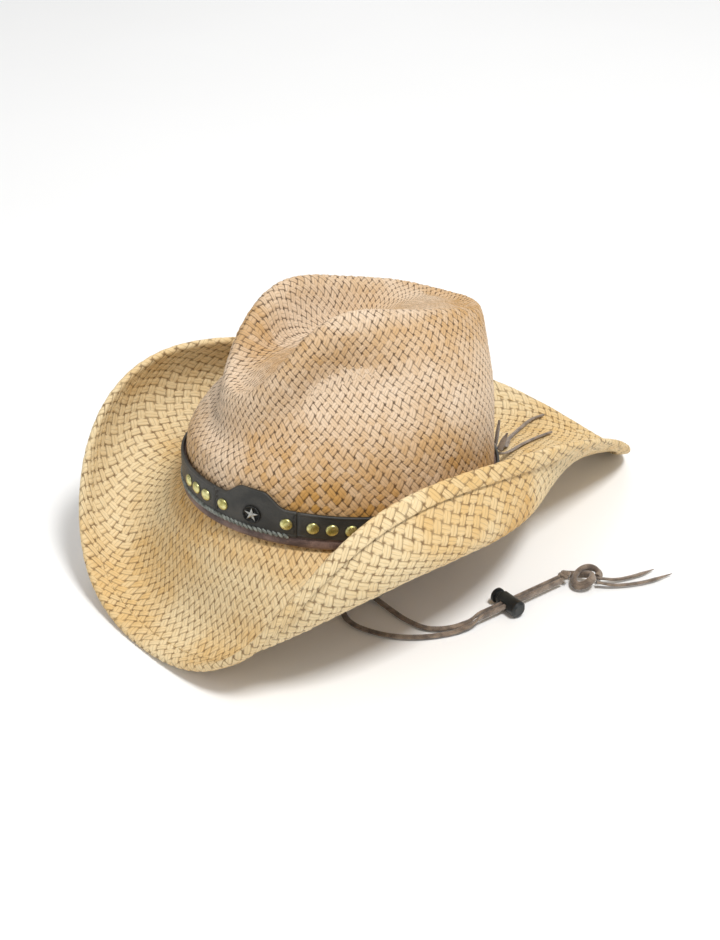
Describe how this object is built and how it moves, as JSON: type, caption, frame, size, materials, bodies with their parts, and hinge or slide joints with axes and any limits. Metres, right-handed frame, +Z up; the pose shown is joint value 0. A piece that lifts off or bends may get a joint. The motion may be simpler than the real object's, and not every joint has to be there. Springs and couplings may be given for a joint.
{
  "type": "cowboy hat",
  "caption": "Woven straw western hat with a pinched crown, rolled-up side brims, a studded leather hatband with a star concho, and a chin lace with a cord lock.",
  "frame": {"origin": "on the upright line through the middle of the head opening, at the level that the hem rests on at the front and the back of the brim", "axes": "+Z up out of the crown, -Y to the front of the hat, +X to the wearer's left, +Y along the hat's longest side"},
  "size_m": [0.2796, 0.4154, 0.2033],
  "materials": {
    "straw": "matte",
    "wire_steel": "satin",
    "straw_thread": "matte",
    "sweatband_cloth": "matte",
    "pale_thread": "matte",
    "brown_leather": "satin",
    "black_leather": "satin",
    "grey_lacing": "satin",
    "antique_metal": "satin",
    "brass": "polished",
    "dark_thread": "matte",
    "suede": "matte",
    "anchor_tape": "matte",
    "lock_plastic": "satin"
  },
  "bodies": {
    "hat": {"straw_crown": "straw", "straw_brim": "straw", "brim_wire": "wire_steel", "wire_ferrule": "wire_steel", "hem_stitching": "straw_thread", "sweatband": "sweatband_cloth", "sweatband_stitching": "pale_thread", "base_strap": "brown_leather", "side_strap_left": "black_leather", "side_strap_right": "black_leather", "front_plate": "black_leather", "edge_lacing": "grey_lacing", "concho": "antique_metal", "concho_post": "antique_metal", "studs": "brass", "stud_prongs": "brass", "plate_stitches": "dark_thread", "tie_knot": "suede", "tie_tail_curved": "suede", "tie_tail_straight": "suede", "tie_leaf_tips": "suede", "lace_anchor_left": "anchor_tape", "lace_anchor_right": "anchor_tape", "chin_lace_left": "suede", "chin_lace_right": "suede", "chin_knot": "suede", "chin_lace_tails": "suede"},
    "lock_barrel": {"lock_barrel": "lock_plastic", "lock_spring": "wire_steel"},
    "lock_button": {"lock_button": "lock_plastic"}
  },
  "joints": [
    {"name": "cord_lock_slide", "type": "slide", "parent": "hat", "child": "lock_barrel", "axis": [0, 1, 0], "range_m": [-0.016, 0.034]},
    {"name": "cord_lock_button_press", "type": "slide", "parent": "lock_barrel", "child": "lock_button", "axis": [1, 0, 0], "range_m": [0, 0.0029], "stiffness_N_per_m": 600, "springref_m": -0.003}
  ]
}
